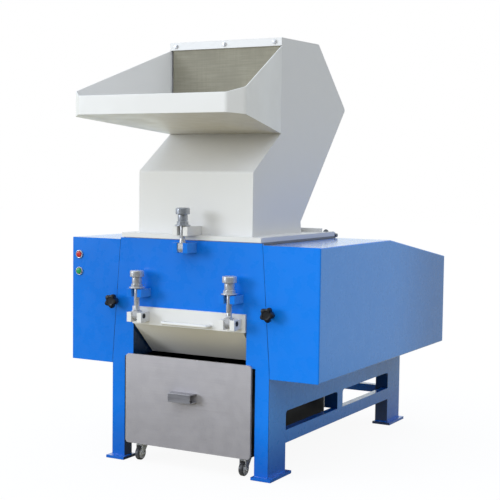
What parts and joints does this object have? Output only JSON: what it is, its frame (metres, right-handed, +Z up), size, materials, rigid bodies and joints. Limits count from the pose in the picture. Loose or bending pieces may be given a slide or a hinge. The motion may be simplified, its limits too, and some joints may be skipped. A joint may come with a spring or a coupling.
{
  "type": "plastic crusher",
  "caption": "Plastic crusher with folded feed hopper, clamped screen cradle and pull-out bin on casters.",
  "frame": {"origin": "middle of the machine's outline at floor level", "axes": "+X to the right seen from the feed tray's side, +Y to the back, +Z up"},
  "size_m": [1, 1.44, 1.5059],
  "materials": {
    "blue_paint": "satin",
    "white_paint": "satin",
    "steel": "brushed",
    "bin_steel": "brushed",
    "zinc": "satin",
    "black_plastic": "matte",
    "wheel": "satin",
    "curtain": "matte",
    "red_plastic": "gloss",
    "green_plastic": "gloss",
    "bezel": "satin"
  },
  "bodies": {
    "machine": {"front_plate": "blue_paint", "right_housing": "blue_paint", "left_housing": "blue_paint", "chamber": "blue_paint", "right_side_frame": "blue_paint", "left_side_frame": "blue_paint", "foot_plates": "blue_paint", "rear_cover": "blue_paint", "rear_tie": "blue_paint", "top_ears": "blue_paint", "left_seat": "blue_paint", "right_seat": "blue_paint", "hopper_shell": "white_paint", "hopper_flange": "white_paint", "feed_tray": "white_paint", "clamp_strip": "white_paint", "gussets": "white_paint", "cradle": "white_paint", "cradle_handle": "white_paint", "left_ears": "white_paint", "right_ears": "white_paint", "top_seat": "white_paint", "chamber_flange": "steel", "hinge_pin": "steel", "strip_bolts": "zinc", "curtain_head": "curtain", "button_bezels": "bezel"},
    "curtain": {"curtain": "curtain"},
    "bin": {"bin_front": "bin_steel", "bin_tub": "bin_steel", "bin_handle": "bin_steel"},
    "red_button": {"red_button": "red_plastic"},
    "green_button": {"green_button": "green_plastic"},
    "left_knob": {"left_knob": "black_plastic"},
    "right_knob": {"right_knob": "black_plastic"},
    "left_bolt": {"left_bolt": "zinc"},
    "left_nut": {"left_nut": "zinc"},
    "right_bolt": {"right_bolt": "zinc"},
    "right_nut": {"right_nut": "zinc"},
    "top_bolt": {"top_bolt": "zinc"},
    "top_nut": {"top_nut": "zinc"},
    "front_left_fork": {"front_left_fork": "zinc"},
    "front_left_wheel": {"front_left_wheel": "wheel"},
    "front_right_fork": {"front_right_fork": "zinc"},
    "front_right_wheel": {"front_right_wheel": "wheel"},
    "rear_left_fork": {"rear_left_fork": "zinc"},
    "rear_left_wheel": {"rear_left_wheel": "wheel"},
    "rear_right_fork": {"rear_right_fork": "zinc"},
    "rear_right_wheel": {"rear_right_wheel": "wheel"}
  },
  "joints": [
    {"name": "bin_pull", "type": "slide", "parent": "machine", "child": "bin", "axis": [0, -1, 0], "range_m": [0, 0.7]},
    {"name": "front_left_caster_swivel", "type": "hinge", "parent": "bin", "child": "front_left_fork", "pos_m": [-0.212, -0.428, 0.06], "axis": [0, 0, 1], "continuous": true},
    {"name": "front_left_wheel_spin", "type": "hinge", "parent": "front_left_fork", "child": "front_left_wheel", "pos_m": [-0.212, -0.446, 0.025], "axis": [1, 0, 0], "continuous": true},
    {"name": "front_right_caster_swivel", "type": "hinge", "parent": "bin", "child": "front_right_fork", "pos_m": [0.212, -0.428, 0.06], "axis": [0, 0, 1], "continuous": true},
    {"name": "front_right_wheel_spin", "type": "hinge", "parent": "front_right_fork", "child": "front_right_wheel", "pos_m": [0.212, -0.446, 0.025], "axis": [1, 0, 0], "continuous": true},
    {"name": "rear_left_caster_swivel", "type": "hinge", "parent": "bin", "child": "rear_left_fork", "pos_m": [-0.066, 0.07, 0.06], "axis": [0, 0, 1], "continuous": true},
    {"name": "rear_left_wheel_spin", "type": "hinge", "parent": "rear_left_fork", "child": "rear_left_wheel", "pos_m": [-0.066, 0.052, 0.025], "axis": [1, 0, 0], "continuous": true},
    {"name": "rear_right_caster_swivel", "type": "hinge", "parent": "bin", "child": "rear_right_fork", "pos_m": [0.066, 0.07, 0.06], "axis": [0, 0, 1], "continuous": true},
    {"name": "rear_right_wheel_spin", "type": "hinge", "parent": "rear_right_fork", "child": "rear_right_wheel", "pos_m": [0.066, 0.052, 0.025], "axis": [1, 0, 0], "continuous": true},
    {"name": "left_bolt_swing", "type": "hinge", "parent": "machine", "child": "left_bolt", "pos_m": [-0.186, -0.513, 0.528], "axis": [1, 0, 0], "range_deg": [0, 110]},
    {"name": "left_nut_turn", "type": "hinge", "parent": "left_bolt", "child": "left_nut", "pos_m": [-0.186, -0.513, 0.638], "axis": [0, 0, 1], "continuous": true},
    {"name": "right_bolt_swing", "type": "hinge", "parent": "machine", "child": "right_bolt", "pos_m": [0.186, -0.513, 0.528], "axis": [1, 0, 0], "range_deg": [0, 110]},
    {"name": "right_nut_turn", "type": "hinge", "parent": "right_bolt", "child": "right_nut", "pos_m": [0.186, -0.513, 0.638], "axis": [0, 0, 1], "continuous": true},
    {"name": "top_bolt_swing", "type": "hinge", "parent": "machine", "child": "top_bolt", "pos_m": [0, -0.513, 0.77], "axis": [1, 0, 0], "range_deg": [0, 110]},
    {"name": "top_nut_turn", "type": "hinge", "parent": "top_bolt", "child": "top_nut", "pos_m": [0, -0.513, 0.88], "axis": [0, 0, 1], "continuous": true},
    {"name": "left_knob_turn", "type": "hinge", "parent": "machine", "child": "left_knob", "pos_m": [-0.304, -0.5, 0.57], "axis": [0, 1, 0], "continuous": true},
    {"name": "right_knob_turn", "type": "hinge", "parent": "machine", "child": "right_knob", "pos_m": [0.323, -0.5, 0.564], "axis": [0, 1, 0], "continuous": true},
    {"name": "red_button_press", "type": "slide", "parent": "machine", "child": "red_button", "axis": [0, 1, 0], "range_m": [0, 0.003], "stiffness_N_per_m": 400},
    {"name": "green_button_press", "type": "slide", "parent": "machine", "child": "green_button", "axis": [0, 1, 0], "range_m": [0, 0.003], "stiffness_N_per_m": 400},
    {"name": "curtain_swing", "type": "hinge", "parent": "machine", "child": "curtain", "pos_m": [0, -0.239, 1.47], "axis": [1, 0, 0], "range_deg": [-50, 70]}
  ]
}
